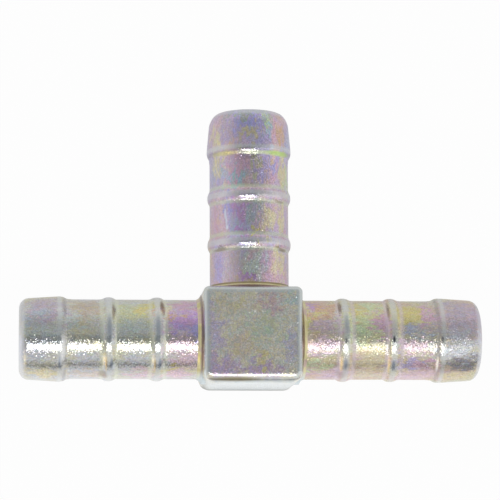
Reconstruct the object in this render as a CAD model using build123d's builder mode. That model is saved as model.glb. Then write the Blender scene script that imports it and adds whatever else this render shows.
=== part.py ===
"""Barbed hose tee: a square centre block with three turned tails brazed into it.

Frame, in millimetres: the origin is where the three axes cross. X runs along the two
run tails, Y points up the branch tail, and Z is the block's thickness, so the tee lies
flat on the block's underside.
"""

import os

from build123d import *

# Tails: one turned design, used three times, measured from the shoulder on the block
shank_diameter = 10.0
shank_wall = 1.5
shoulder_width = 0.5
spigot_length = 1.5
tail_length = 22.85

# Centre block: a length of square bar, cut across and drilled from three sides
bar_margin = 1.05
block_end_margin = 1.2
branch_side_excess = 0.2
edge_radius = 0.7
worn_corner_radius = 1.3

# Two rounded beads round the shank
first_bead = 5.6
bead_pitch = 6.05
bead_width = 1.9
bead_height = 0.29

# End barb: a steep back, a short land at the crest, a slow taper and a rounded nose
barb_back_start = 16.7
barb_back_length = 0.8
barb_land_length = 0.6
barb_height = 0.36
nose_taper = 0.28
mouth_land = 0.13
mouth_chamfer = 0.15

# Joint between tail and block: a seated shoulder, an eased socket and a braze fillet
socket_clearance = 0.05
socket_floor_gap = 0.1
braze_leg = 0.65
braze_hollow = 0.12

shank_radius = shank_diameter / 2
bore_radius = shank_radius - shank_wall
spigot_radius = shank_radius - shoulder_width
crest_radius = shank_radius + barb_height
nose_start_radius = crest_radius - nose_taper
mouth_radius = bore_radius + mouth_chamfer
nose_radius = nose_start_radius - mouth_radius - mouth_land

bar_size = shank_diameter + 2 * bar_margin
block_length = shank_diameter + 2 * block_end_margin
block_base = -(bar_size - branch_side_excess) / 2
block_head = block_base + bar_size
run_face = block_length / 2
socket_radius = spigot_radius + socket_clearance
socket_depth = spigot_length + socket_floor_gap

# Each plane stands on the block's face with its normal along the tail, outwards
seats = {
    "left": Plane(origin=(-run_face, 0, 0), x_dir=(0, 1, 0), z_dir=(-1, 0, 0)),
    "right": Plane(origin=(run_face, 0, 0), x_dir=(0, 1, 0), z_dir=(1, 0, 0)),
    "branch": Plane(origin=(0, block_head, 0), x_dir=(-1, 0, 0), z_dir=(0, 1, 0)),
}


def half_section(seat):
    """The plane that holds a tail's half section: X is the radius, Y the way outwards."""
    return Plane(origin=seat.origin, x_dir=seat.x_dir, z_dir=-seat.y_dir)


def bead_arc(middle):
    """A bead's outline over the shank, from its block side to its nose side."""
    start = (shank_radius, middle - bead_width / 2)
    crown = (shank_radius + bead_height, middle)
    end = (shank_radius, middle + bead_width / 2)
    return start, crown, end


with BuildPart() as centre_block:
    with BuildSketch(Plane.XY.offset(-bar_size / 2)):
        with Locations((0, (block_base + block_head) / 2)):
            Rectangle(block_length, bar_size)
    extrude(amount=bar_size)
    worn_edge = centre_block.edges().filter_by(Axis.Z).sort_by(Axis.X)[:2].sort_by(Axis.Y)[0]
    fillet(worn_edge, worn_corner_radius)
    sharp_edges = centre_block.faces().filter_by(GeomType.PLANE).edges()
    fillet(sharp_edges, edge_radius)
    for seat in seats.values():
        with BuildSketch(seat):
            Circle(socket_radius)
        extrude(amount=-socket_depth, mode=Mode.SUBTRACT)
    with BuildSketch(seats["left"]):
        Circle(bore_radius)
    extrude(amount=-block_length, mode=Mode.SUBTRACT)
    with BuildSketch(seats["branch"]):
        Circle(bore_radius)
    extrude(amount=-block_head, mode=Mode.SUBTRACT)

centre_block.part.label = "centre_block"


def make_tail(seat):
    """A turned tail, seated by its shoulder on the block face that the plane names."""
    first_arc = bead_arc(first_bead)
    second_arc = bead_arc(first_bead + bead_pitch)
    crest_start = barb_back_start + barb_back_length
    crest_end = crest_start + barb_land_length
    nose_start = tail_length - nose_radius
    nose_side = (nose_start_radius, nose_start)
    nose_face = (nose_start_radius - nose_radius, tail_length)

    with BuildPart() as tail:
        with BuildSketch(half_section(seat)):
            with BuildLine():
                Polyline(
                    (bore_radius, -spigot_length),
                    (spigot_radius, -spigot_length),
                    (spigot_radius, 0),
                    (shank_radius, 0),
                    first_arc[0],
                )
                ThreePointArc(*first_arc)
                Line(first_arc[2], second_arc[0])
                ThreePointArc(*second_arc)
                Polyline(
                    second_arc[2],
                    (shank_radius, barb_back_start),
                    (crest_radius, crest_start),
                    (crest_radius, crest_end),
                    nose_side,
                )
                RadiusArc(nose_side, nose_face, -nose_radius)
                Polyline(
                    nose_face,
                    (mouth_radius, tail_length),
                    (bore_radius, tail_length - mouth_chamfer),
                    (bore_radius, -spigot_length),
                )
            make_face()
        revolve(axis=Axis(seat.origin, seat.z_dir))
    return tail


def make_braze_fillet(seat):
    """The hollow-faced ring of braze in the corner between a tail and the block."""
    outer_radius = shank_radius + braze_leg
    root_depth = edge_radius
    hollow_radius = shank_radius + braze_leg / 2 - braze_hollow
    hollow_height = braze_leg / 2 - braze_hollow

    with BuildPart() as ring:
        with BuildSketch(half_section(seat)):
            with BuildLine():
                ThreePointArc(
                    (outer_radius, 0),
                    (hollow_radius, hollow_height),
                    (shank_radius, braze_leg),
                )
                Polyline(
                    (shank_radius, braze_leg),
                    (shank_radius, -root_depth),
                    (outer_radius, -root_depth),
                    (outer_radius, 0),
                )
            make_face()
        revolve(axis=Axis(seat.origin, seat.z_dir))
        add(centre_block.part, mode=Mode.SUBTRACT)
    return ring


os.makedirs("parts", exist_ok=True)
export_step(centre_block.part, "parts/centre_block.step")
for side, seat in seats.items():
    tail = make_tail(seat)
    tail.part.label = f"{side}_tail"
    export_step(tail.part, f"parts/{side}_tail.step")
    braze = make_braze_fillet(seat)
    braze.part.label = f"{side}_braze_fillet"
    export_step(braze.part, f"parts/{side}_braze_fillet.step")
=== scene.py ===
"""Barbed hose tee: the block, its three turned tails and their braze, with a passivated zinc finish."""

import math

import bmesh
import bpy
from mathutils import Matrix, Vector


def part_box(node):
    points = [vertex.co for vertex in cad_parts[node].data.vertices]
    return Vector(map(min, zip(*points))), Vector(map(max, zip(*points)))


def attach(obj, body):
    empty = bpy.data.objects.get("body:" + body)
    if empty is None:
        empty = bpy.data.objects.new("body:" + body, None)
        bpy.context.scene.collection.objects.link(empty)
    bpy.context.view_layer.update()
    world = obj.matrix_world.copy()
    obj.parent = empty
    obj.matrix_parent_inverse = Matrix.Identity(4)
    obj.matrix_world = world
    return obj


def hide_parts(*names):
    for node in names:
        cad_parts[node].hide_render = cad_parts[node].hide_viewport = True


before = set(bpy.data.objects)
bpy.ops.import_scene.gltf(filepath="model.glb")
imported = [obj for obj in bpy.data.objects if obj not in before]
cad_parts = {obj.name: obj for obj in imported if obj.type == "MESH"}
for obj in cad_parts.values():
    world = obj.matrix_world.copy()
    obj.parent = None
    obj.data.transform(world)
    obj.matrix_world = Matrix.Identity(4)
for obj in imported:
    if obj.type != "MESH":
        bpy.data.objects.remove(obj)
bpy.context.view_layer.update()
block_low, block_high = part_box("centre_block")
tail_low, tail_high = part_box("right_tail")
run_face = block_high.x
branch_face = block_high.y

MM = 0.001


# ---------------------------------------------------------------- measures, in mm

SHANK_RADIUS = 5.0
BORE_RADIUS = 3.5
SPIGOT_RADIUS = 4.5
SPIGOT_EDGE = 0.1

# The middles of the beads, out from the block's face
BEAD_MIDDLES = (5.58, 11.64)
BRANCH_BEAD_MIDDLES = (5.85, 11.86)

# A bead's corners: along from its middle, out from the shank, easing
BEAD = (
    (-0.9, 0.0, 0.07),
    (-0.44, 0.2465, 0.22),
    (0.0, 0.3045, 0.2),
    (0.44, 0.2465, 0.2),
    (0.9, 0.0, 0.3),
)

# The barb's corners: out from the block's face, radius, easing
BARB_LAND_END = 18.0
BARB = (
    (16.2, SHANK_RADIUS, 0.07),
    (16.9, 5.07, 0.07),
    (17.44, 5.36, 0.28),
    (BARB_LAND_END, 5.36, 0.2),
)

# The corners of the nose and the mouth: back from the mouth, radius, easing. The branch's nose
# is rounder.
RUN_NOSE = ((0.02, 5.05, 1.15),)
BRANCH_NOSE = ((0.95, 5.0, 0.8), (0.14, 4.2, 0.3))
MOUTH = ((0.0, 3.6, 0.05), (0.2, BORE_RADIUS, 0.05))

# How far the block's edges are eased
WORN_CORNER = 1.5
NEAR_EDGE = 1.3
OTHER_EDGE = 0.75

SOCKET_RADIUS = 4.55
SOCKET_DEPTH = 1.6

# The braze fillet: its legs, the hollow of its face, and how far it starts inside the block
# before the block is cut out of it
BRAZE_LEG = 0.65
BRAZE_HOLLOW = 0.1
BRAZE_EASING = 0.2
BRAZE_ROOT = 1.0

# Points nearer than this are one
TOUCHING = 0.001

# Steps round a turned piece, steps over an eased edge, and strips across the block
TURNS = 160
EASING_STEPS = 10
BLOCK_STRIPS = 24


# ---------------------------------------------------------------- modelling helpers

def deselect_all():
    """Leaves edit mode and selects nothing."""
    if bpy.context.object and bpy.context.object.mode != "OBJECT":
        bpy.ops.object.mode_set(mode="OBJECT")
    bpy.ops.object.select_all(action="DESELECT")


def select_only(piece):
    """Selects one piece and nothing else."""
    deselect_all()
    piece.select_set(True)
    bpy.context.view_layer.objects.active = piece


def begin(name):
    """Names the primitive just added, puts its place into its mesh and opens it for editing."""
    piece = bpy.context.object
    piece.name = name
    piece.data.name = name
    bpy.ops.object.transform_apply(location=True, rotation=True, scale=True)
    bpy.ops.object.mode_set(mode="EDIT")
    bpy.ops.mesh.select_mode(type="VERT")
    bpy.ops.mesh.select_all(action="SELECT")
    return piece


def pick_points(piece, places):
    """In edit mode, selects the points at the given places, and no others."""
    bpy.ops.mesh.select_all(action="DESELECT")
    mesh = bmesh.from_edit_mesh(piece.data)
    for point in mesh.verts:
        point.select_set(any((point.co - place).length < TOUCHING * MM for place in places))
    mesh.select_flush_mode()
    bmesh.update_edit_mesh(piece.data)


def apply_modifier(piece, kind, **settings):
    """Adds a modifier with its settings and applies it."""
    bpy.context.view_layer.objects.active = piece
    added = piece.modifiers.new(kind.title(), kind)
    for key, value in settings.items():
        setattr(added, key, value)
    bpy.ops.object.modifier_apply(modifier=added.name)


def copy_of(piece, name):
    """A copy with its own mesh."""
    select_only(piece)
    bpy.ops.object.duplicate()
    copy = bpy.context.object
    copy.name = name
    copy.data.name = name
    return copy


def turn(piece, angle, shift=(0, 0, 0)):
    """Turns a piece's mesh about the Z axis through the origin, then shifts it."""
    select_only(piece)
    piece.rotation_euler = (0, 0, angle)
    piece.location = shift
    bpy.ops.object.transform_apply(location=True, rotation=True, scale=True)


def spun_section(name, corners):
    """Spins a closed half section about the X axis. Its corners are given as mm out from the
    block's right face, radius and easing."""
    deselect_all()
    corners = [(out + run_face / MM, radius, easing) for out, radius, easing in corners]
    x, radius, _ = corners[0]
    bpy.ops.mesh.primitive_plane_add(size=MM, location=(x * MM, 0, radius * MM))
    piece = begin(name)
    bpy.ops.mesh.merge(type="CENTER")
    for (x0, r0, _), (x1, r1, _) in zip(corners, corners[1:]):
        step = ((x1 - x0) * MM, 0, (r1 - r0) * MM)
        bpy.ops.mesh.extrude_region_move(TRANSFORM_OT_translate={"value": step})
    bpy.ops.mesh.select_all(action="SELECT")
    bpy.ops.mesh.edge_face_add()
    for size in sorted({easing for _, _, easing in corners if easing > 0}):
        pick_points(piece, [Vector((x * MM, 0, r * MM)) for x, r, easing in corners if easing == size])
        bpy.ops.mesh.bevel(
            offset=size * MM, offset_type="OFFSET", segments=EASING_STEPS, affect="VERTICES",
            clamp_overlap=False,
        )
    bpy.ops.mesh.select_all(action="SELECT")
    bpy.ops.mesh.delete(type="ONLY_FACE")
    bpy.ops.mesh.select_all(action="SELECT")
    bpy.ops.mesh.spin(steps=TURNS, angle=math.tau, center=(0, 0, 0), axis=(1, 0, 0))
    bpy.ops.mesh.select_all(action="SELECT")
    bpy.ops.mesh.remove_doubles(threshold=TOUCHING * MM)
    bpy.ops.mesh.normals_make_consistent(inside=False)
    bpy.ops.object.mode_set(mode="OBJECT")
    return piece


# ---------------------------------------------------------------- pieces

def model_tail(name, bead_middles, nose):
    """A tail as the right one lies: spigot, shank with two beads, end barb and rounded nose,
    bored through. The beads and the barb run out softly toward the nose and meet the shank in
    a corner toward the block."""
    spigot_end = (tail_low.x - run_face) / MM
    mouth = (tail_high.x - run_face) / MM
    corners = [
        (spigot_end, BORE_RADIUS, 0),
        (spigot_end, SPIGOT_RADIUS, SPIGOT_EDGE),
        (0, SPIGOT_RADIUS, 0),
        (0, SHANK_RADIUS, 0),
    ]
    for middle in bead_middles:
        corners += [(middle + along, SHANK_RADIUS + height, easing) for along, height, easing in BEAD]
    corners += BARB
    corners += [(mouth - back, radius, easing) for back, radius, easing in nose + MOUTH]
    return spun_section(name, corners)


def model_block():
    """The centre block: a length of square bar with eased edges, most worn at its near corners.
    Its faces are cut into strips, so that smooth shading keeps to the eased edges."""
    deselect_all()
    bpy.ops.mesh.primitive_cube_add(
        size=1, location=(block_low + block_high) / 2, scale=block_high - block_low
    )
    block = begin("centre_block_body")
    mesh = bmesh.from_edit_mesh(block.data)
    weight = mesh.edges.layers.float.new("bevel_weight_edge")
    for edge in mesh.edges:
        middle = (edge.verts[0].co + edge.verts[1].co) / 2
        on_near_face = middle.y < block_low.y + TOUCHING * MM
        upright = abs(middle.z) < TOUCHING * MM
        if on_near_face and upright:
            easing = WORN_CORNER
        elif on_near_face and middle.z > 0:
            easing = NEAR_EDGE
        else:
            easing = OTHER_EDGE
        edge[weight] = easing / WORN_CORNER
    bmesh.update_edit_mesh(block.data)
    bpy.ops.object.mode_set(mode="OBJECT")
    apply_modifier(
        block, "BEVEL", width=WORN_CORNER * MM, segments=EASING_STEPS, limit_method="WEIGHT",
        use_clamp_overlap=False,
    )
    bpy.ops.object.mode_set(mode="EDIT")
    for normal in (Vector((1, 0, 0)), Vector((0, 1, 0)), Vector((0, 0, 1))):
        for strip in range(1, BLOCK_STRIPS):
            place = (block_low + (block_high - block_low) * strip / BLOCK_STRIPS) * normal
            bpy.ops.mesh.select_all(action="SELECT")
            bpy.ops.mesh.bisect(plane_co=place, plane_no=normal)
    bpy.ops.object.mode_set(mode="OBJECT")
    return block


def drill(piece, radius, start, end):
    """Drills a round hole from one point to another, in mm."""
    deselect_all()
    start, end = Vector(start) * MM, Vector(end) * MM
    along = end - start
    bpy.ops.mesh.primitive_cylinder_add(
        vertices=TURNS, radius=radius * MM, depth=along.length, location=(start + end) / 2,
        rotation=along.to_track_quat("Z", "Y").to_euler(),
    )
    cutter = bpy.context.object
    bpy.ops.object.transform_apply(location=True, rotation=True, scale=True)
    apply_modifier(piece, "BOOLEAN", operation="DIFFERENCE", solver="MANIFOLD", object=cutter)
    bpy.data.objects.remove(cutter)


def drill_block(block):
    """The run passage, the branch passage that meets it, and the three sockets."""
    across, up = run_face / MM, branch_face / MM
    clear_across, clear_up = across + 1, up + 1
    drill(block, BORE_RADIUS, (-clear_across, 0, 0), (clear_across, 0, 0))
    drill(block, BORE_RADIUS, (0, 0, 0), (0, clear_up, 0))
    drill(block, SOCKET_RADIUS, (-clear_across, 0, 0), (-across + SOCKET_DEPTH, 0, 0))
    drill(block, SOCKET_RADIUS, (clear_across, 0, 0), (across - SOCKET_DEPTH, 0, 0))
    drill(block, SOCKET_RADIUS, (0, clear_up, 0), (0, up - SOCKET_DEPTH, 0))


def model_braze():
    """The right braze fillet: a hollow-faced ring in the corner between tail and block."""
    outer = SHANK_RADIUS + BRAZE_LEG
    hollow = BRAZE_LEG / 2 - BRAZE_HOLLOW
    return spun_section("right_braze_ring", [
        (-BRAZE_ROOT, SHANK_RADIUS, 0),
        (BRAZE_LEG, SHANK_RADIUS, 0),
        (hollow, SHANK_RADIUS + hollow, BRAZE_EASING),
        (0, outer, 0),
        (-BRAZE_ROOT, outer, 0),
    ])


# ---------------------------------------------------------------- colours and where they lie

WHITE = "#FFFFFF"
BLACK = "#000000"

# The passivated film's colours from thin to thick, as they look in soft white light
FILM_COLOURS = (
    (0.00, "#D4D8DC"),
    (0.12, "#D8DACC"),
    (0.25, "#E0DAAE"),
    (0.37, "#E0C6AE"),
    (0.46, "#DEC2D0"),
    (0.58, "#CCC0E4"),
    (0.70, "#B8C4E0"),
    (0.82, "#B6D4D0"),
    (0.92, "#D4E2B6"),
    (1.00, "#E2D892"),
)

# The colours that patches of the film show
SILVER = "#D6DBE0"
SAGE = "#D2DED6"
STRAW = "#EAE0B4"
YELLOW = "#E4DA88"
OLIVE = "#CFCCA8"
ORANGE = "#E2BC98"
PINK = "#DFB8CE"
ROSE = "#EACEDA"
MAUVE = "#D8C2CE"
LILAC = "#C4B8E8"
VIOLET = "#D0A4E0"
BLUE = "#B6B2EE"
TEAL = "#AACEDC"
GREEN = "#DAECB8"
HAZE = "#C8BCCA"
MIST = "#BAC6CE"
SLATE = "#BCC4DA"

# Where a tail's film differs from that around it. Each patch is given by mm along the tail from
# the middle of the block, mm round it from its top, how far it reaches along and round, and its
# colour.
LEFT_TINTS = (
    (-25.5, 4.0, 3.6, 2.6, HAZE),
    (-27.0, 2.0, 2.6, 2.2, MIST),
    (-24.8, 1.6, 2.6, 2.2, HAZE),
    (-20.5, 3.8, 3.0, 2.8, "#CEC2AC"),
    (-22.4, 2.0, 1.6, 2.0, SAGE),
    (-15.3, 2.8, 4.0, 3.8, "#D4DCAE"),
    (-15.3, 1.0, 3.4, 1.6, SAGE),
    (-25.5, 0.4, 3.4, 1.4, SAGE),
    (-13.3, 3.8, 1.9, 2.0, YELLOW),
    (-7.8, 1.8, 4.4, 3.2, VIOLET),
    (-8.0, 4.6, 3.2, 1.8, PINK),
    (-7.0, 0.6, 2.2, 1.4, BLUE),
    (-10.3, 2.4, 1.2, 1.6, ORANGE),
    (-10.9, 4.5, 0.9, 2.2, STRAW),
    (-8.8, -1.2, 3.4, 1.4, ROSE),
    (-8.6, -3.2, 3.6, 1.9, ROSE),
    (-9.8, -4.6, 1.4, 1.1, YELLOW),
    (-9.0, -6.0, 3.4, 1.7, ROSE),
    (-14.5, -3.2, 3.6, 1.6, SILVER),
    (-14.0, -6.0, 2.6, 1.8, ROSE),
    (-21.0, -3.2, 3.4, 1.6, SILVER),
    (-20.5, -6.0, 3.0, 1.6, "#E2D2C4"),
    (-25.5, -5.4, 3.6, 1.5, STRAW),
)
RIGHT_TINTS = (
    (7.3, 4.4, 1.2, 1.4, VIOLET),
    (8.9, 3.4, 2.4, 2.2, ORANGE),
    (7.0, 2.2, 1.5, 2.4, YELLOW),
    (9.4, 1.2, 2.6, 1.5, MAUVE),
    (13.2, 3.2, 1.7, 3.0, YELLOW),
    (15.3, 4.4, 2.0, 1.8, GREEN),
    (16.2, 1.6, 1.8, 2.8, PINK),
    (13.6, 1.2, 2.0, 2.6, GREEN),
    (7.2, -3.8, 2.0, 1.8, GREEN),
    (10.0, -5.0, 1.8, 1.3, ROSE),
    (14.5, -3.2, 3.4, 1.8, STRAW),
    (14.5, -5.8, 3.0, 1.5, "#E8DCC0"),
    (19.6, 2.9, 2.6, 2.6, YELLOW),
    (22.3, 3.2, 1.4, 3.4, PINK),
    (20.8, 0.9, 2.4, 1.3, SLATE),
    (19.7, -3.6, 1.9, 1.7, LILAC),
    (21.8, -3.4, 1.8, 1.5, PINK),
    (21.0, -6.0, 3.4, 1.8, ROSE),
    (8.6, -1.2, 3.0, 1.6, ROSE),
    (20.6, -1.2, 3.0, 1.4, ROSE),
    (26.0, 3.8, 3.6, 2.8, HAZE),
    (26.0, 1.2, 4.4, 3.0, HAZE),
    (26.0, -1.6, 4.4, 3.2, SILVER),
    # A painted dark reflection, dark grey, under the nose's highlight
    (26.6, -3.4, 4.6, 1.4, "#8A8A8E"),
    (25.6, -5.8, 2.8, 1.4, STRAW),
)
BRANCH_TINTS = (
    (27.0, -0.8, 3.5, 3.1, BLUE),
    (26.6, 1.9, 3.6, 1.1, TEAL),
    (27.7, 1.9, 1.2, 0.9, GREEN),
    (28.6, -0.5, 1.5, 5.0, "#AEBAB6"),
    (25.2, -0.2, 1.5, 2.2, "#D6CCA0"),
    (24.6, 1.4, 2.0, 1.2, LILAC),
    (25.8, 2.9, 3.4, 1.0, PINK),
    (25.6, 3.8, 2.6, 1.0, ORANGE),
    (25.2, -4.8, 2.4, 1.6, STRAW),
    (26.0, -3.4, 2.8, 1.6, "#C4B6D2"),
    (21.7, -1.6, 2.4, 1.8, PINK),
    (21.5, 0.4, 1.7, 1.0, OLIVE),
    (22.2, 2.8, 1.4, 2.2, BLUE),
    (19.9, -2.2, 1.4, 2.6, TEAL),
    (20.6, -3.2, 1.3, 0.9, PINK),
    (21.5, -5.0, 2.6, 1.9, STRAW),
    (20.4, 1.4, 1.6, 1.6, LILAC),
    (20.8, 3.2, 2.2, 1.0, PINK),
    (20.8, 4.8, 3.4, 1.3, STRAW),
    (20.2, 5.8, 2.0, 1.2, GREEN),
    (16.2, -1.6, 1.5, 1.4, VIOLET),
    (16.3, -3.0, 1.3, 1.3, BLUE),
    (16.0, 0.2, 1.9, 1.3, MIST),
    (15.4, 2.2, 2.4, 1.6, STRAW),
    (13.2, -1.5, 1.2, 1.8, VIOLET),
    (13.3, 0.8, 1.0, 1.6, YELLOW),
    (13.2, 4.2, 1.7, 1.6, PINK),
    (15.6, 4.6, 2.0, 1.2, STRAW),
    (14.6, -5.4, 2.8, 1.5, PINK),
    (8.8, -3.0, 4.0, 2.4, "#D6C6D2"),
    (8.8, 3.0, 4.0, 2.2, PINK),
    (9.0, -4.8, 2.8, 1.8, LILAC),
    (9.2, 0.0, 3.0, 2.4, SAGE),
    (6.9, -0.4, 1.0, 3.0, VIOLET),
    (9.3, 4.2, 2.8, 2.1, STRAW),
    (7.4, 5.2, 1.8, 1.2, PINK),
)

# Painted shade in the corners beside the beads, painted dark reflections, warm glints and dusky
# reflections on the beads themselves, painted pale glints and sheen on the barbs' flanks, greenish
# film beside the barb, and pale scratches. Each mark is given as a patch is, with its share before its
# colour.
# Painted shade, brown, in the corners beside the beads
PAINTED_CORNER_SHADE = "#8E7C68"
# A painted dark reflection, blue-black, beside a highlight
PAINTED_DARK_REFLECTION = "#484C58"
# A painted warm glint
PAINTED_WARM_GLINT = "#F4DCB0"
# A painted dusky reflection
PAINTED_DUSKY_REFLECTION = "#8C9CB4"
SCRATCH = "#E2EAF8"
LEFT_MARKS = (
    (-17.35, 3.2, 0.28, 1.8, 0.6, PAINTED_CORNER_SHADE),
    (-11.25, 4.4, 0.34, 1.4, 0.75, PAINTED_CORNER_SHADE),
    (-18.6, -5.7, 0.8, 1.2, 0.5, PAINTED_CORNER_SHADE),
    (-18.2, -3.7, 0.22, 1.5, 0.8, PAINTED_WARM_GLINT),
    (-17.55, -3.6, 0.3, 1.2, 0.6, PAINTED_DUSKY_REFLECTION),
    (-12.15, -3.9, 0.22, 1.5, 0.8, PAINTED_WARM_GLINT),
    (-11.55, -3.6, 0.3, 1.2, 0.6, PAINTED_DUSKY_REFLECTION),
    (-23.9, -3.5, 0.35, 1.4, 0.6, PAINTED_DUSKY_REFLECTION),
    (-17.85, 1.0, 0.4, 2.2, 0.4, PAINTED_DUSKY_REFLECTION),
    (-11.8, 0.9, 0.4, 2.4, 0.4, PAINTED_DUSKY_REFLECTION),
    # A painted pale sheen on the barb's flank
    (-23.6, -2.2, 0.5, 3.6, 0.6, WHITE),
)
RIGHT_MARKS = (
    (11.05, 4.3, 0.34, 1.8, 0.6, PAINTED_CORNER_SHADE),
    (11.8, 1.6, 0.4, 1.8, 0.35, PAINTED_DUSKY_REFLECTION),
    (17.15, 3.6, 0.28, 2.4, 0.55, PAINTED_CORNER_SHADE),
    (11.2, -5.6, 0.9, 1.2, 0.35, PAINTED_CORNER_SHADE),
    (11.2, -3.8, 0.2, 1.5, 0.8, PAINTED_WARM_GLINT),
    (11.7, -3.6, 0.35, 1.2, 0.6, PAINTED_DUSKY_REFLECTION),
    (17.2, -4.0, 0.2, 1.4, 0.8, PAINTED_WARM_GLINT),
    (17.75, -3.7, 0.35, 1.2, 0.7, PAINTED_DUSKY_REFLECTION),
    # A painted pale glint on the barb's flank
    (23.3, -3.6, 0.2, 1.6, 0.8, WHITE),
    (17.7, -0.4, 0.22, 0.6, 0.95, PAINTED_DARK_REFLECTION),
    (11.65, -0.6, 0.2, 0.4, 0.8, PAINTED_DARK_REFLECTION),
    (23.8, -0.4, 0.25, 0.5, 0.7, PAINTED_DARK_REFLECTION),
)
BRANCH_MARKS = (
    (11.0, -4.6, 0.3, 2.0, 0.6, PAINTED_CORNER_SHADE),
    (11.0, 4.5, 0.3, 1.3, 0.7, PAINTED_CORNER_SHADE),
    (17.1, 4.0, 0.25, 1.2, 0.5, PAINTED_CORNER_SHADE),
    (15.5, -3.65, 1.0, 0.2, 0.8, SCRATCH),
    (14.7, -3.45, 0.9, 0.2, 0.8, SCRATCH),
    (13.8, -3.35, 0.5, 0.3, 0.9, SCRATCH),
    (24.0, 2.5, 0.5, 0.5, 0.8, SCRATCH),
    (23.25, 3.6, 0.45, 3.2, 0.85, "#CDEB90"),
    (23.2, -3.6, 0.4, 3.0, 0.7, "#DDD898"),
    (23.2, 0.2, 0.4, 2.6, 0.6, "#E6F0C0"),
)

# The film that wear leaves on the crowns of the beads and the barb and that on the nose, and a
# dark band where the barb rises
CROWN_FILM = "#E0E4E4"
NOSE_FILM = "#DADCE6"
BARB_RISE_DARK = "#9C9A9E"

# The block's film, and the clouds in it: where each lies on the top face, how far it reaches
# across and up, and its colour
BLOCK_FILM = "#F6F4D6"
BLOCK_TINTS = (
    (-5.2, 0.5, 1.8, 5.5, "#DAD0F0"),
    (-4.0, -4.0, 3.5, 2.2, "#D4B8E0"),
    (0.6, -4.4, 4.4, 1.3, "#D4B8E0"),
    (5.2, -1.2, 1.4, 3.6, "#D0D2E4"),
    (2.2, 4.0, 2.4, 1.8, "#E2C4C0"),
    (4.9, 5.0, 1.6, 1.4, "#C8EAE2"),
    (1.0, -2.6, 1.6, 1.6, "#F6EA94"),
    (1.6, 0.8, 3.6, 2.8, "#DAEAC2"),
    (-2.5, 3.6, 2.4, 1.8, "#E4E0B0"),
    (-1.5, -1.0, 2.4, 2.0, "#E6DAB4"),
)

# The film along the block's worn edges and on its near face, and the painted shade on that face
EDGE_FILM = "#D4DCDE"
NEAR_FILM = "#F0F8FC"
PAINTED_FOOT_SHADE = "#58543A"
PAINTED_TOP_EDGE_SHADE = "#A0946C"

# The braze's own patches, painted shade beside the block and the branch, and its near side's film
BRAZE_PATCHES = ((0.35, "#D4CA96"), (0.5, "#E4DCAC"), (0.65, "#D6C0B4"))
PAINTED_BRAZE_CORNER_SHADE = "#8C7A78"
PAINTED_BRAZE_RIM_SHADE = "#8A7A5C"
NEAR_BRAZE = "#D2DEE2"

BORE_STEEL = "#9C968C"

# The plating's grains are 0.08 mm, coarser than real ones so that they show
GRAINS_PER_MM = 12.0

# Bands lie within this distance and fade over this much at each side, in mm
BAND_RANGE = 30.0
BAND_FADE = 0.25


# ---------------------------------------------------------------- materials

def linear(hex_colour):
    """An sRGB hex colour as linear RGBA."""
    channels = [int(hex_colour[i:i + 2], 16) / 255 for i in (1, 3, 5)]
    return [c / 12.92 if c <= 0.04045 else ((c + 0.055) / 1.055) ** 2.4 for c in channels] + [1.0]


def add(tree, kind, inputs=None, **settings):
    """Adds a node with its settings. An input given as a socket is linked, any other is set."""
    node = tree.nodes.new(kind)
    for key, value in settings.items():
        setattr(node, key, value)
    for key, value in (inputs or {}).items():
        if isinstance(value, bpy.types.NodeSocket):
            tree.links.new(value, node.inputs[key])
        else:
            node.inputs[key].default_value = value
    return node


def new_material(name):
    """An empty material with its tree of nodes."""
    material = bpy.data.materials.new(name)
    material.use_nodes = True
    material.node_tree.nodes.clear()
    return material, material.node_tree


def set_ramp(node, stops):
    """Gives a colour ramp its stops, as (position, hex colour)."""
    elements = node.color_ramp.elements
    while len(elements) < len(stops):
        elements.new(0.5)
    for element, (position, colour) in zip(elements, stops):
        element.position = position
        element.color = linear(colour)


def place_in_mm(tree):
    """The place on a piece, in mm, so that a pattern's scale is how many fit in a mm."""
    place = add(tree, "ShaderNodeTexCoord").outputs["Object"]
    return add(tree, "ShaderNodeMapping", {"Vector": place, "Scale": (1000, 1000, 1000)}).outputs[0]


def spot_share(tree, place, middle, reach, most):
    """A soft-edged spot: most at its middle, fading to nothing at its reach."""
    near = add(tree, "ShaderNodeMapping", {
        "Vector": place, "Location": middle, "Scale": reach,
    }, vector_type="TEXTURE").outputs[0]
    spot = add(tree, "ShaderNodeTexGradient", {"Vector": near}, gradient_type="SPHERICAL").outputs["Fac"]
    return add(tree, "ShaderNodeMapRange", {
        "Value": spot, "From Max": 0.75, "To Max": most,
    }, interpolation_type="SMOOTHSTEP").outputs[0]


def band_share(tree, distance, bands, most):
    """Soft-edged bands, each given by the distance of its middle and half its width, in mm."""
    part = add(tree, "ShaderNodeMath", {0: distance, 1: BAND_RANGE}, operation="DIVIDE").outputs[0]
    ramp = add(tree, "ShaderNodeValToRGB", {"Fac": part})
    stops = []
    for middle, half in sorted(bands):
        low, high = middle - half, middle + half
        stops += [((low - BAND_FADE) / BAND_RANGE, BLACK), (low / BAND_RANGE, WHITE)]
        stops += [(high / BAND_RANGE, WHITE), ((high + BAND_FADE) / BAND_RANGE, BLACK)]
    set_ramp(ramp, stops)
    return add(tree, "ShaderNodeMath", {
        0: ramp.outputs["Color"], 1: most,
    }, operation="MULTIPLY").outputs[0]


def laid_over(tree, colour, layers):
    """The colour under others laid over it in turn, each given by its share and itself."""
    for share, over in layers:
        over = linear(over) if isinstance(over, str) else over
        colour = add(tree, "ShaderNodeMix", {0: share, 6: colour, 7: over}, data_type="RGBA").outputs[2]
    return colour


def film_colour(tree, depth):
    """The colour that the film shows at a depth from 0, thin, to 1, thick."""
    ramp = add(tree, "ShaderNodeValToRGB", {"Fac": depth})
    set_ramp(ramp, FILM_COLOURS)
    return ramp.outputs["Color"]


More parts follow.
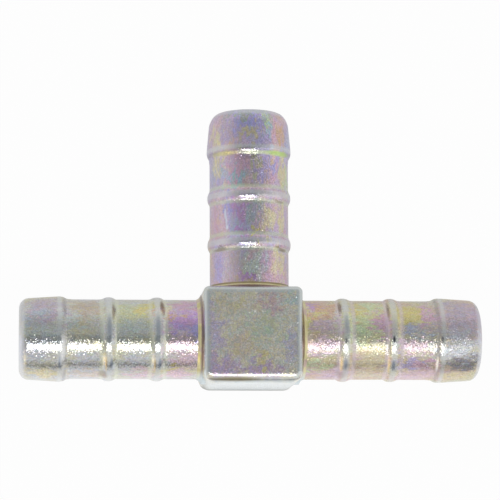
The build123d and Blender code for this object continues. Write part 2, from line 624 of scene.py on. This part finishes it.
def inside_bores(tree, in_mm):
    """1 on the walls of the bores, fading over the lip of a mouth to 0 on everything else. The
    branch's bore starts at the middle of the block, so beyond that its radius is measured from
    the middle itself."""
    far = 99
    off_run = add(tree, "ShaderNodeVectorMath", {0: in_mm, 1: (0, 1, 1)}, operation="MULTIPLY")
    off_branch = add(tree, "ShaderNodeVectorMath", {0: in_mm, 1: (far, 0, far)}, operation="MINIMUM")
    radii = [
        add(tree, "ShaderNodeVectorMath", {0: off.outputs[0]}, operation="LENGTH").outputs["Value"]
        for off in (off_run, off_branch)
    ]
    radius = add(tree, "ShaderNodeMath", {0: radii[0], 1: radii[1]}, operation="MINIMUM").outputs[0]
    return add(tree, "ShaderNodeMapRange", {
        "Value": radius, "From Min": BORE_RADIUS + 0.14, "From Max": BORE_RADIUS + 0.04,
    }).outputs[0]


def faceted(tree, grains, tilt, normal):
    """A normal tipped at random in each grain, a little in most and far in a few, so that they
    sparkle at the edges of a highlight."""
    middle = (0.5, 0.5, 0.5)
    lean = add(tree, "ShaderNodeVectorMath", {0: grains, 1: middle}, operation="SUBTRACT").outputs[0]
    far = add(tree, "ShaderNodeVectorMath", {0: lean}, operation="LENGTH").outputs["Value"]
    share = add(tree, "ShaderNodeMath", {0: far, 1: 2.0}, operation="POWER").outputs[0]
    share = add(tree, "ShaderNodeMath", {0: share, 1: tilt}, operation="MULTIPLY").outputs[0]
    lean = add(tree, "ShaderNodeVectorMath", {0: lean, "Scale": share}, operation="SCALE").outputs[0]
    tipped = add(tree, "ShaderNodeVectorMath", {0: lean, 1: normal}, operation="ADD").outputs[0]
    return add(tree, "ShaderNodeVectorMath", {0: tipped}, operation="NORMALIZE").outputs[0]


def mottled(tree, place, grains, colour):
    """The colour, a few percent darker and lighter in specks about 0.8 mm and finer, and up to a
    fifth from grain to grain."""
    specks = add(tree, "ShaderNodeTexNoise", {
        "Vector": place, "Scale": 1.2, "Detail": 4.0, "Roughness": 0.7,
    }).outputs[0]
    level = add(tree, "ShaderNodeMapRange", {
        "Value": specks, "From Min": 0.3, "From Max": 0.7, "To Min": 0.92, "To Max": 1.06,
    }).outputs[0]
    grain = add(tree, "ShaderNodeSeparateXYZ", {0: grains}).outputs["X"]
    grain = add(tree, "ShaderNodeMapRange", {"Value": grain, "To Min": 0.8, "To Max": 1.2}).outputs[0]
    level = add(tree, "ShaderNodeMath", {0: level, 1: grain}, operation="MULTIPLY").outputs[0]
    return add(tree, "ShaderNodeVectorMath", {0: colour, "Scale": level}, operation="SCALE").outputs[0]


def add_plating(tree, in_mm, grains, colour, roughness, tilt, bump):
    """The shader of the plating: a metal with its grain on top of its bumps. The film hardly
    reaches the bores, whose steel is dull."""
    inside = inside_bores(tree, in_mm)
    metal = add(tree, "ShaderNodeMapRange", {"Value": inside, "To Min": 1.0, "To Max": 0.4}).outputs[0]
    shader = add(tree, "ShaderNodeBsdfPrincipled", {
        "Base Color": laid_over(tree, colour, [(inside, BORE_STEEL)]),
        "Metallic": metal,
        "Roughness": roughness,
        "Normal": faceted(tree, grains, tilt, bump.outputs[0]),
    })
    add(tree, "ShaderNodeOutputMaterial", {"Surface": shader.outputs[0]})


def plated_tail(
    name, along_axis, bead_middles, film, corner_film, tints, marks, roughness, graininess, feathering,
):
    """Zinc plate on drawn and turned steel, passivated: a satin metal whose clear film shows
    soft patches of straw, pink, violet and green, drawn out along the tail, over a fine grain.
    The film is from 0, thin, to 1, thick, apart from its tints, and corner_film is its colour
    beside the beads. Graininess is how far the grains tip, and feathering how finely the edges
    of the tints are broken up."""
    material, tree = new_material(name)
    in_mm = place_in_mm(tree)
    parts = add(tree, "ShaderNodeSeparateXYZ", {0: in_mm}).outputs
    along, side = (parts["X"], parts["Y"]) if along_axis == "X" else (parts["Y"], parts["X"])
    angle = add(tree, "ShaderNodeMath", {0: side, 1: parts["Z"]}, operation="ARCTAN2").outputs[0]
    round_it = add(tree, "ShaderNodeMath", {0: angle, 1: SHANK_RADIUS}, operation="MULTIPLY").outputs[0]
    laid_flat = add(tree, "ShaderNodeCombineXYZ", {0: along, 1: round_it}).outputs[0]
    grains = add(tree, "ShaderNodeTexVoronoi", {
        "Vector": in_mm, "Scale": GRAINS_PER_MM,
    }).outputs["Color"]

    # Clouds about 4 mm across, drawn out lengthwise
    draw_out = (0.5, 1, 1) if along_axis == "X" else (1, 0.5, 1)
    drawn = add(tree, "ShaderNodeMapping", {"Vector": in_mm, "Scale": draw_out}).outputs[0]
    clouds = add(tree, "ShaderNodeTexNoise", {
        "Vector": drawn, "Scale": 0.25, "Detail": 3.0, "Roughness": 0.5,
    }, normalize=False).outputs[0]
    depth = add(tree, "ShaderNodeMath", {0: clouds, 1: 0.25, 2: film}, operation="MULTIPLY_ADD").outputs[0]

    # The tints over them, with edges that wander by 1 or 2 mm
    drift = add(tree, "ShaderNodeTexNoise", {
        "Vector": drawn, "Scale": 0.9, "Detail": feathering, "Roughness": 0.72,
    }, normalize=False).outputs["Color"]
    ragged = add(tree, "ShaderNodeVectorMath", {
        0: drift, 1: (2.0, 1.0, 0), 2: laid_flat,
    }, operation="MULTIPLY_ADD").outputs[0]
    colour = laid_over(tree, film_colour(tree, depth), [
        (spot_share(tree, ragged, (middle, middle_round, 0), (reach, reach_round, 1), 0.95), tint)
        for middle, middle_round, reach, reach_round, tint in tints
    ])

    # Faint flecks of 0.4 mm in all of it
    flecks = add(tree, "ShaderNodeTexNoise", {
        "Vector": drawn, "Scale": 2.4, "Detail": 3.0, "Roughness": 0.6,
    }).outputs[0]
    flecks = add(tree, "ShaderNodeMapRange", {
        "Value": flecks, "From Min": 0.3, "From Max": 0.7,
    }).outputs[0]
    colour = laid_over(tree, colour, [(0.22, film_colour(tree, flecks))])
    colour = mottled(tree, drawn, grains, colour)

    # Tumbling wears the film thin along the beads, the barb and the nose. The film stays pale in the
    # corners either side of a bead, and a dark band lies where the barb rises.
    out = add(tree, "ShaderNodeMath", {0: along}, operation="ABSOLUTE").outputs[0]
    start = (run_face if along_axis == "X" else branch_face) / MM
    crowns = [(start + bead, 0.25) for bead in bead_middles] + [(start + BARB_LAND_END - 0.2, 0.15)]
    corners = [(start + bead + step, 0.12) for bead in bead_middles for step in (-0.95, 0.95)]
    nose = [(start + 22.9, 0.6)]
    barb_rise = [(start + 17.2, 0.08)]
    crown = band_share(tree, out, crowns, 0.6)
    colour = laid_over(tree, colour, [
        (crown, CROWN_FILM),
        (band_share(tree, out, nose, 0.6), NOSE_FILM),
        (band_share(tree, out, corners, 0.5), corner_film),
        (band_share(tree, out, barb_rise, 0.4), BARB_RISE_DARK),
    ])
    # The marks, among them painted shade, painted reflections and painted glints
    colour = laid_over(tree, colour, [
        (spot_share(tree, laid_flat, (middle, middle_round, 0), (reach, reach_round, 1), most), mark)
        for middle, middle_round, reach, reach_round, most, mark in marks
    ])

    # Low waves from the plating bath, about 0.4 mm apart, and less grain where the crowns are worn
    waves = add(tree, "ShaderNodeTexNoise", {
        "Vector": in_mm, "Scale": 2.5, "Detail": 2.0, "Roughness": 0.6,
    }).outputs[0]
    bump = add(tree, "ShaderNodeBump", {"Height": waves, "Distance": 0.008 * MM, "Strength": 1.0})
    patchy = add(tree, "ShaderNodeMapRange", {
        "Value": clouds, "From Min": -0.4, "From Max": 0.4,
        "To Min": roughness - 0.03, "To Max": roughness + 0.03,
    }).outputs[0]
    tilt = add(tree, "ShaderNodeMapRange", {
        "Value": crown, "To Min": graininess, "To Max": 0.3 * graininess,
    }).outputs[0]
    add_plating(tree, in_mm, grains, colour, patchy, tilt, bump)
    return material


def plated_block(name):
    """Zinc plate on sawn and tumbled bar, passivated: a matte, olive-grey skin with faint
    violet clouds, silvery along its edges where tumbling has thinned the film."""
    material, tree = new_material(name)
    in_mm = place_in_mm(tree)
    near_y, low_z, top_z = block_low.y / MM, block_low.z / MM, block_high.z / MM
    grains = add(tree, "ShaderNodeTexVoronoi", {
        "Vector": in_mm, "Scale": GRAINS_PER_MM,
    }).outputs["Color"]

    # Clouds with ragged edges, and flecks of about 0.7 mm and finer in them
    drift = add(tree, "ShaderNodeTexNoise", {
        "Vector": in_mm, "Scale": 0.9, "Detail": 4.0, "Roughness": 0.6,
    }, normalize=False).outputs["Color"]
    ragged = add(tree, "ShaderNodeVectorMath", {
        0: drift, 1: (1.6, 1.6, 0), 2: in_mm,
    }, operation="MULTIPLY_ADD").outputs[0]
    colour = laid_over(tree, linear(BLOCK_FILM), [
        (spot_share(tree, ragged, (x, y, top_z), (reach_x, reach_y, 2), 0.9), tint)
        for x, y, reach_x, reach_y, tint in BLOCK_TINTS
    ])
    flecks = add(tree, "ShaderNodeTexNoise", {
        "Vector": in_mm, "Scale": 1.4, "Detail": 5.0, "Roughness": 0.8,
    }).outputs[0]
    depth = add(tree, "ShaderNodeMapRange", {
        "Value": flecks, "From Min": 0.32, "From Max": 0.68,
    }).outputs[0]
    colour = laid_over(tree, colour, [(0.4, film_colour(tree, depth))])
    colour = mottled(tree, in_mm, grains, colour)

    # Along an edge two of the three measures from the middle are near their most. The flecks
    # make the worn strip ragged.
    share_out = add(tree, "ShaderNodeMapping", {
        "Vector": in_mm,
        "Location": (block_high + block_low) / (2 * MM),
        "Scale": (block_high - block_low) / (2 * MM),
    }, vector_type="TEXTURE").outputs[0]
    share_out = add(tree, "ShaderNodeVectorMath", {0: share_out}, operation="ABSOLUTE").outputs[0]
    shares = add(tree, "ShaderNodeSeparateXYZ", {0: share_out}).outputs
    total = add(tree, "ShaderNodeVectorMath", {0: share_out, 1: (1, 1, 1)}, operation="DOT_PRODUCT")
    least = add(tree, "ShaderNodeMath", {0: shares["X"], 1: shares["Y"]}, operation="MINIMUM").outputs[0]
    least = add(tree, "ShaderNodeMath", {0: least, 1: shares["Z"]}, operation="MINIMUM").outputs[0]
    largest_two = add(tree, "ShaderNodeMath", {
        0: total.outputs["Value"], 1: least,
    }, operation="SUBTRACT").outputs[0]
    edge = add(tree, "ShaderNodeMath", {
        0: flecks, 1: 0.12, 2: largest_two,
    }, operation="MULTIPLY_ADD").outputs[0]
    worn = add(tree, "ShaderNodeMapRange", {
        "Value": edge, "From Min": 1.89, "From Max": 1.98,
    }, interpolation_type="SMOOTHSTEP").outputs[0]
    worn_share = add(tree, "ShaderNodeMath", {0: worn, 1: 0.8}, operation="MULTIPLY").outputs[0]

    # The near face took a thin, bluish film. Painted olive shade lies along its lowest edge, where it
    # meets the table, and a fainter painted shade under its top edge.
    near_face = spot_share(tree, in_mm, (0, near_y, 0), (14, 1.2, 14), 0.85)
    foot_shade_share = spot_share(tree, in_mm, (0, near_y, low_z), (16, 3, 1.7), 0.95)
    top_edge_shade_share = spot_share(tree, in_mm, (-2.4, near_y + 0.45, top_z - 0.35), (5, 0.5, 0.5), 0.8)
    colour = laid_over(tree, colour, [
        (near_face, NEAR_FILM), (worn_share, EDGE_FILM), (foot_shade_share, PAINTED_FOOT_SHADE), (top_edge_shade_share, PAINTED_TOP_EDGE_SHADE),
    ])

    # A few pits that glint, 0.2 mm across, and less roughness and grain along the burnished edges
    cells = add(tree, "ShaderNodeTexVoronoi", {"Vector": in_mm, "Scale": 0.85}).outputs["Distance"]
    pits = add(tree, "ShaderNodeMapRange", {"Value": cells, "From Max": 0.09}).outputs[0]
    bump = add(tree, "ShaderNodeBump", {"Height": pits, "Distance": 0.05 * MM, "Strength": 1.0})
    burnished = add(tree, "ShaderNodeMapRange", {
        "Value": worn, "To Min": 0.27, "To Max": 0.16,
    }).outputs[0]
    tilt = add(tree, "ShaderNodeMapRange", {
        "Value": edge, "From Min": 1.84, "From Max": 1.96, "To Min": 0.65, "To Max": 0.26,
    }).outputs[0]
    add_plating(tree, in_mm, grains, colour, burnished, tilt, bump)
    return material


def plated_braze(name):
    """Braze metal under the plating: tan to olive brown, a little rough, with painted shade where it
    meets the block, painted brown shade where it meets the branch, and pale round the near side."""
    material, tree = new_material(name)
    in_mm = place_in_mm(tree)
    patches = add(tree, "ShaderNodeTexNoise", {"Vector": in_mm, "Scale": 0.8, "Detail": 4.0}).outputs[0]
    patched = add(tree, "ShaderNodeValToRGB", {"Fac": patches})
    set_ramp(patched, BRAZE_PATCHES)
    parts = add(tree, "ShaderNodeSeparateXYZ", {0: in_mm}).outputs
    across = add(tree, "ShaderNodeMath", {0: parts["X"]}, operation="ABSOLUTE").outputs[0]
    off_run_face = add(tree, "ShaderNodeMath", {
        0: across, 1: run_face / MM,
    }, operation="SUBTRACT").outputs[0]
    off_branch_face = add(tree, "ShaderNodeMath", {
        0: parts["Y"], 1: branch_face / MM,
    }, operation="SUBTRACT").outputs[0]
    off_block = add(tree, "ShaderNodeMath", {
        0: off_run_face, 1: off_branch_face,
    }, operation="MAXIMUM").outputs[0]
    # Painted shade where the braze meets the block
    corner = add(tree, "ShaderNodeMapRange", {
        "Value": off_block, "From Min": 0.15, "From Max": 0.35, "To Min": 0.8, "To Max": 0.0,
    }).outputs[0]
    # Painted brown shade where the branch's braze meets the branch
    branch_side_shade = add(tree, "ShaderNodeMapRange", {
        "Value": off_branch_face, "From Min": 0.35, "From Max": 0.45, "To Max": 0.8,
    }).outputs[0]
    near = add(tree, "ShaderNodeMapRange", {
        "Value": parts["Y"], "From Min": -4.2, "From Max": -5.2,
    }).outputs[0]
    colour = laid_over(tree, patched.outputs["Color"], [
        (corner, PAINTED_BRAZE_CORNER_SHADE), (branch_side_shade, PAINTED_BRAZE_RIM_SHADE), (near, NEAR_BRAZE),
    ])
    shader = add(tree, "ShaderNodeBsdfPrincipled", {
        "Base Color": colour, "Metallic": 1.0, "Roughness": 0.26,
    })
    add(tree, "ShaderNodeOutputMaterial", {"Surface": shader.outputs[0]})
    return material


# ---------------------------------------------------------------- camera, floor and light

def set_camera():
    """Almost straight above the tee as it lies flat, from slightly left of and below its block."""
    target = Vector((0.12, 11.49, 0)) * MM
    distance = 308 * MM
    bpy.ops.object.camera_add()
    camera = bpy.context.object
    camera.rotation_mode = "ZXY"
    camera.rotation_euler = (math.radians(8.35), math.radians(-5.14), math.radians(-0.31))
    camera.location = target + camera.rotation_euler.to_matrix() @ Vector((0, 0, distance))
    camera.data.lens = 174.4
    camera.data.sensor_width = 36
    camera.data.clip_start = 0.01
    bpy.context.scene.camera = camera


def set_floor():
    """A plain pale table top under the block's underside. It keeps a faint shadow and looks
    white. The plating reflects painted light and shade on it: grey, but for a painted lit strip along
    the tee's near side and a painted contact shadow at the foot of the block's near face."""
    deselect_all()
    # A hair under the block, so that the two don't share a plane
    bpy.ops.mesh.primitive_plane_add(size=4, location=(0, 0, block_low.z - 0.01 * MM))
    floor = bpy.context.object
    floor.name = "floor"
    material, tree = new_material("pale_table")
    matte = add(tree, "ShaderNodeBsdfDiffuse", {"Color": linear("#D6D6D6")})
    glow = add(tree, "ShaderNodeEmission", {"Color": linear(WHITE), "Strength": 1.0})
    place = add(tree, "ShaderNodeTexCoord").outputs["Object"]
    toward = add(tree, "ShaderNodeSeparateXYZ", {0: place}).outputs["Y"]
    toward = add(tree, "ShaderNodeMapRange", {
        "Value": toward, "From Min": 10 * MM, "From Max": -70 * MM,
    }).outputs[0]
    # Painted light and shade on the table as the plating sees it: grey behind the tee, a painted lit strip
    # along its near side, dimmer further out
    strips = add(tree, "ShaderNodeValToRGB", {"Fac": toward})
    set_ramp(strips, (
        (0.0, "#B1B1B1"), (0.16, "#FCFCFC"), (0.26, "#FCFCFC"), (0.42, "#D4D4D4"), (0.68, "#BEBEBE"),
        (1.0, "#A8A8A8"),
    ))
    # A painted contact shadow at the foot of the block's near face
    foot = Vector((0, block_low.y - 0.15 * MM, 0))
    painted_contact_shadow = spot_share(tree, place, foot, (15 * MM, 0.8 * MM, 1), 0.95)
    reflected = laid_over(tree, strips.outputs["Color"], [(painted_contact_shadow, "#3C3A26")])
    path = add(tree, "ShaderNodeLightPath").outputs
    seen = add(tree, "ShaderNodeMath", {0: path["Is Camera Ray"], 1: 0.97}, operation="MULTIPLY").outputs[0]
    share = add(tree, "ShaderNodeMath", {
        0: path["Is Glossy Ray"], 1: reflected, 2: seen,
    }, operation="MULTIPLY_ADD").outputs[0]
    surface = add(tree, "ShaderNodeMixShader", {0: share, 1: matte.outputs[0], 2: glow.outputs[0]})
    add(tree, "ShaderNodeOutputMaterial", {"Surface": surface.outputs[0]})
    floor.data.materials.append(material)


def set_softbox():
    """One long softbox over the near side of the tee, a little to its left."""
    deselect_all()
    lean = math.radians(27.9)
    distance = 420 * MM
    bpy.ops.object.light_add(
        type="AREA", location=(-42.5 * MM, -distance * math.sin(lean), distance * math.cos(lean)),
        rotation=(lean, 0, 0),
    )
    softbox = bpy.context.object
    softbox.data.shape = "RECTANGLE"
    softbox.data.size = 315 * MM
    softbox.data.size_y = 103 * MM
    softbox.data.energy = 0.38


def set_room():
    """A room that is pale at eye level and dim overhead, and white to the camera. The plating
    reflects a dark gap beside the softbox, a pale wall, a window, the table's edge and a pane."""
    world = bpy.data.worlds.new("room")
    bpy.context.scene.world = world
    world.use_nodes = True
    tree = world.node_tree
    tree.nodes.clear()
    direction = add(tree, "ShaderNodeTexCoord").outputs["Generated"]
    parts = add(tree, "ShaderNodeSeparateXYZ", {0: direction}).outputs
    walls = add(tree, "ShaderNodeValToRGB", {"Fac": parts["Z"]})
    set_ramp(walls, (
        (0.0, "#E4E4E4"), (0.3, "#DCDCDC"), (0.58, "#C9C9C9"), (0.76, "#B7B9B9"), (0.88, "#B3B6B7"),
        (1.0, "#AEB1B3"),
    ))

    # The dark gap between the middle of the ceiling and the softbox
    past = add(tree, "ShaderNodeMapRange", {
        "Value": parts["Y"], "From Min": 0.1, "From Max": 0.01, "To Max": 0.52,
    }, interpolation_type="SMOOTHSTEP").outputs[0]
    over = add(tree, "ShaderNodeMapRange", {
        "Value": parts["Z"], "From Min": 0.8, "From Max": 0.92,
    }).outputs[0]
    gap = add(tree, "ShaderNodeMath", {0: past, 1: over}, operation="MULTIPLY").outputs[0]

    # A pale wall at the front right, which the right flanks of the run's beads catch
    right = add(tree, "ShaderNodeMapRange", {
        "Value": parts["X"], "From Min": 0.2, "From Max": 0.5, "To Max": 0.65,
    }, interpolation_type="SMOOTHSTEP").outputs[0]
    front = add(tree, "ShaderNodeMapRange", {
        "Value": parts["Y"], "From Min": 0.1, "From Max": -0.1,
    }).outputs[0]
    pale_wall = add(tree, "ShaderNodeMath", {0: right, 1: front}, operation="MULTIPLY").outputs[0]

    # A faint window along the front, and below it the table's near edge, a dark line
    near = add(tree, "ShaderNodeMapRange", {
        "Value": parts["Y"], "From Min": -0.4, "From Max": -0.8,
    }, interpolation_type="SMOOTHSTEP").outputs[0]
    window = add(tree, "ShaderNodeMath", {0: near, 1: 0.4}, operation="MULTIPLY").outputs[0]
    low = add(tree, "ShaderNodeValToRGB", {"Fac": parts["Z"]})
    set_ramp(low, ((0.0, WHITE), (0.06, WHITE), (0.4, BLACK)))
    edge = add(tree, "ShaderNodeMath", {0: low.outputs["Color"], 1: near}, operation="MULTIPLY").outputs[0]

    # A bright warm pane low at the left, which only the left sides of beads and noses catch
    aside = add(tree, "ShaderNodeMapRange", {
        "Value": parts["X"], "From Min": -0.35, "From Max": -0.6,
    }, interpolation_type="SMOOTHSTEP").outputs[0]
    lower = add(tree, "ShaderNodeMapRange", {
        "Value": parts["Z"], "From Min": 0.5, "From Max": 0.3,
    }, interpolation_type="SMOOTHSTEP").outputs[0]
    pane = add(tree, "ShaderNodeMath", {0: aside, 1: lower}, operation="MULTIPLY").outputs[0]
    pane = add(tree, "ShaderNodeMath", {0: pane, 1: near}, operation="MULTIPLY").outputs[0]
    strength = add(tree, "ShaderNodeMapRange", {"Value": pane, "To Min": 1.0, "To Max": 1.5}).outputs[0]

    room = laid_over(tree, walls.outputs["Color"], [
        (gap, "#545C5E"), (pale_wall, WHITE), (window, "#F4F4F4"), (edge, "#7E7E7E"), (pane, "#FFF2DC"),
    ])
    lit = add(tree, "ShaderNodeBackground", {"Color": room, "Strength": strength}).outputs[0]
    white = add(tree, "ShaderNodeBackground", {"Color": linear(WHITE), "Strength": 1.0}).outputs[0]
    camera_ray = add(tree, "ShaderNodeLightPath").outputs["Is Camera Ray"]
    surface = add(tree, "ShaderNodeMixShader", {0: camera_ray, 1: lit, 2: white})
    add(tree, "ShaderNodeOutputWorld", {"Surface": surface.outputs[0]})


# ---------------------------------------------------------------- assembly

def dress(piece, node, material):
    """Shades a piece smooth but for its sharp edges, gives it its material and makes it stand
    for its CAD node."""
    select_only(piece)
    bpy.ops.object.shade_smooth_by_angle(angle=math.radians(35))
    piece.data.materials.clear()
    piece.data.materials.append(material)
    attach(piece, "root")
    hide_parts(node)


set_camera()
set_floor()
set_softbox()
set_room()

block = model_block()
drill_block(block)

branch_shift = (0, branch_face - run_face, 0)
right_tail = model_tail("right_tail_turned", BEAD_MIDDLES, RUN_NOSE)
left_tail = copy_of(right_tail, "left_tail_turned")
turn(left_tail, math.pi)
branch_tail = model_tail("branch_tail_turned", BRANCH_BEAD_MIDDLES, BRANCH_NOSE)
turn(branch_tail, math.pi / 2, branch_shift)

right_braze = model_braze()
left_braze = copy_of(right_braze, "left_braze_ring")
turn(left_braze, math.pi)
branch_braze = copy_of(right_braze, "branch_braze_ring")
turn(branch_braze, math.pi / 2, branch_shift)
for ring in (left_braze, right_braze, branch_braze):
    apply_modifier(ring, "BOOLEAN", operation="DIFFERENCE", solver="MANIFOLD", object=block)

block_plating = plated_block("passivated_zinc_on_bar")
left_plating = plated_tail(
    "passivated_zinc_left", "X", BEAD_MIDDLES, film=0.1, corner_film="#E8ECD6",
    tints=LEFT_TINTS, marks=LEFT_MARKS, roughness=0.14, graininess=0.7, feathering=5.0,
)
right_plating = plated_tail(
    "passivated_zinc_right", "X", BEAD_MIDDLES, film=0.3, corner_film="#E6D8E4",
    tints=RIGHT_TINTS, marks=RIGHT_MARKS, roughness=0.27, graininess=1.1, feathering=5.0,
)
branch_plating = plated_tail(
    "passivated_zinc_branch", "Y", BRANCH_BEAD_MIDDLES, film=0.47, corner_film="#DCE8C4",
    tints=BRANCH_TINTS, marks=BRANCH_MARKS, roughness=0.16, graininess=0.85, feathering=2.0,
)
braze = plated_braze("plated_braze")

dress(block, "centre_block", block_plating)
dress(left_tail, "left_tail", left_plating)
dress(right_tail, "right_tail", right_plating)
dress(branch_tail, "branch_tail", branch_plating)
dress(left_braze, "left_braze_fillet", braze)
dress(right_braze, "right_braze_fillet", braze)
dress(branch_braze, "branch_braze_fillet", braze)

bpy.context.scene.view_settings.view_transform = "Standard"
